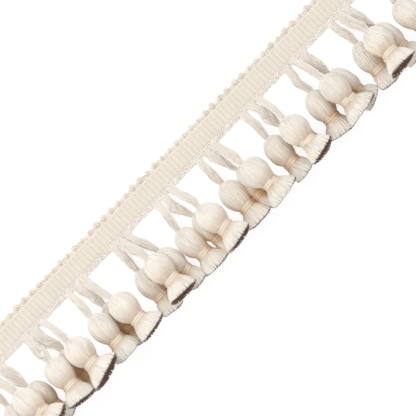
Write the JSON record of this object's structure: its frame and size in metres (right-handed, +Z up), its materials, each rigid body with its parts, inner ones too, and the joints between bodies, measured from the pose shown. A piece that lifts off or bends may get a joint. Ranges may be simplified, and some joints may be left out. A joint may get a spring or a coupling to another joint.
{
  "type": "onion tassel fringe trim",
  "caption": "Cream fringe trim: a ribbed heading tape with a picot edging and groups of flat yarn hangers, each ending in a round onion tassel with a bound neck and a short flared skirt.",
  "frame": {"origin": "on the heading tape's flat back, at the middle of its length and of its width", "axes": "+X along the tape, +Y across it to the picot edging, so the tassels lie towards -Y, and +Z up from the surface that the trim lies on"},
  "size_m": [0.3192, 0.0668, 0.0275],
  "materials": {
    "heading_cloth": "ribbed woven tape of matt cream yarn",
    "picot_yarn": "looped matt cream yarn",
    "hanger_yarn": "soft twisted cream yarns",
    "tassel_yarn": "soft cream yarns laid side by side",
    "binding_thread": "closely wound cream thread"
  },
  "bodies": {
    "root": {"heading_tape": "heading_cloth", "picot_edging": "picot_yarn", "hanger_fringe": "hanger_yarn", "binding_01_left": "binding_thread", "tassel_01_left": "tassel_yarn", "binding_01_middle": "binding_thread", "tassel_01_middle": "tassel_yarn", "binding_01_right": "binding_thread", "tassel_01_right": "tassel_yarn", "binding_02_left": "binding_thread", "tassel_02_left": "tassel_yarn", "binding_02_middle": "binding_thread", "tassel_02_middle": "tassel_yarn", "binding_02_right": "binding_thread", "tassel_02_right": "tassel_yarn", "binding_03_left": "binding_thread", "tassel_03_left": "tassel_yarn", "binding_03_middle": "binding_thread", "tassel_03_middle": "tassel_yarn", "binding_03_right": "binding_thread", "tassel_03_right": "tassel_yarn", "binding_04_left": "binding_thread", "tassel_04_left": "tassel_yarn", "binding_04_middle": "binding_thread", "tassel_04_middle": "tassel_yarn", "binding_04_right": "binding_thread", "tassel_04_right": "tassel_yarn", "binding_05_left": "binding_thread", "tassel_05_left": "tassel_yarn", "binding_05_middle": "binding_thread", "tassel_05_middle": "tassel_yarn", "binding_05_right": "binding_thread", "tassel_05_right": "tassel_yarn", "binding_06_left": "binding_thread", "tassel_06_left": "tassel_yarn", "binding_06_middle": "binding_thread", "tassel_06_middle": "tassel_yarn", "binding_06_right": "binding_thread", "tassel_06_right": "tassel_yarn", "binding_07_left": "binding_thread", "tassel_07_left": "tassel_yarn", "binding_07_middle": "binding_thread", "tassel_07_middle": "tassel_yarn", "binding_07_right": "binding_thread", "tassel_07_right": "tassel_yarn", "binding_08_left": "binding_thread", "tassel_08_left": "tassel_yarn", "binding_08_middle": "binding_thread", "tassel_08_middle": "tassel_yarn", "binding_08_right": "binding_thread", "tassel_08_right": "tassel_yarn", "binding_09_left": "binding_thread", "tassel_09_left": "tassel_yarn", "binding_09_middle": "binding_thread", "tassel_09_middle": "tassel_yarn", "binding_09_right": "binding_thread", "tassel_09_right": "tassel_yarn", "binding_10_left": "binding_thread", "tassel_10_left": "tassel_yarn"}
  },
  "joints": []
}
